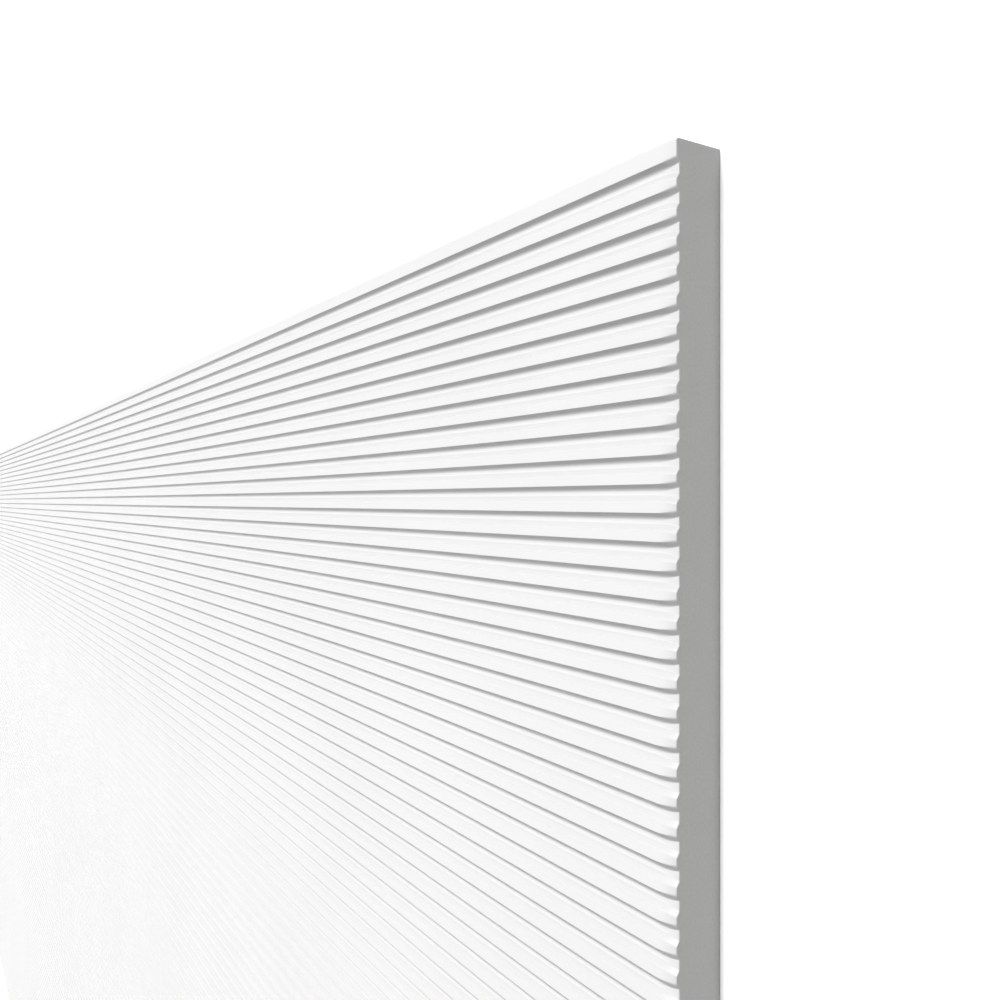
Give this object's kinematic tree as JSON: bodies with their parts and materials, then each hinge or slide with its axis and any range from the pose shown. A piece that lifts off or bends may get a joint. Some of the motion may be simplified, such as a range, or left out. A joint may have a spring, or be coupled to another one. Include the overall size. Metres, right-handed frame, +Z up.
{
  "type": "fluted porcelain tile",
  "caption": "Long rectangular porcelain tile with fine parallel flutes along its white satin face, eased short ends and shallow keying pockets in its back, for cladding walls.",
  "frame": {"origin": "centre of the back, on the floor that the tile lies on", "axes": "+X along the flutes, +Y across them, +Z up out of the fluted face"},
  "size_m": [1.2, 0.6, 0.0105],
  "materials": {
    "porcelain": "white satin glaze on the face, bare pale grey body on the edges and back"
  },
  "bodies": {
    "root": {"tile": "porcelain"}
  },
  "joints": []
}
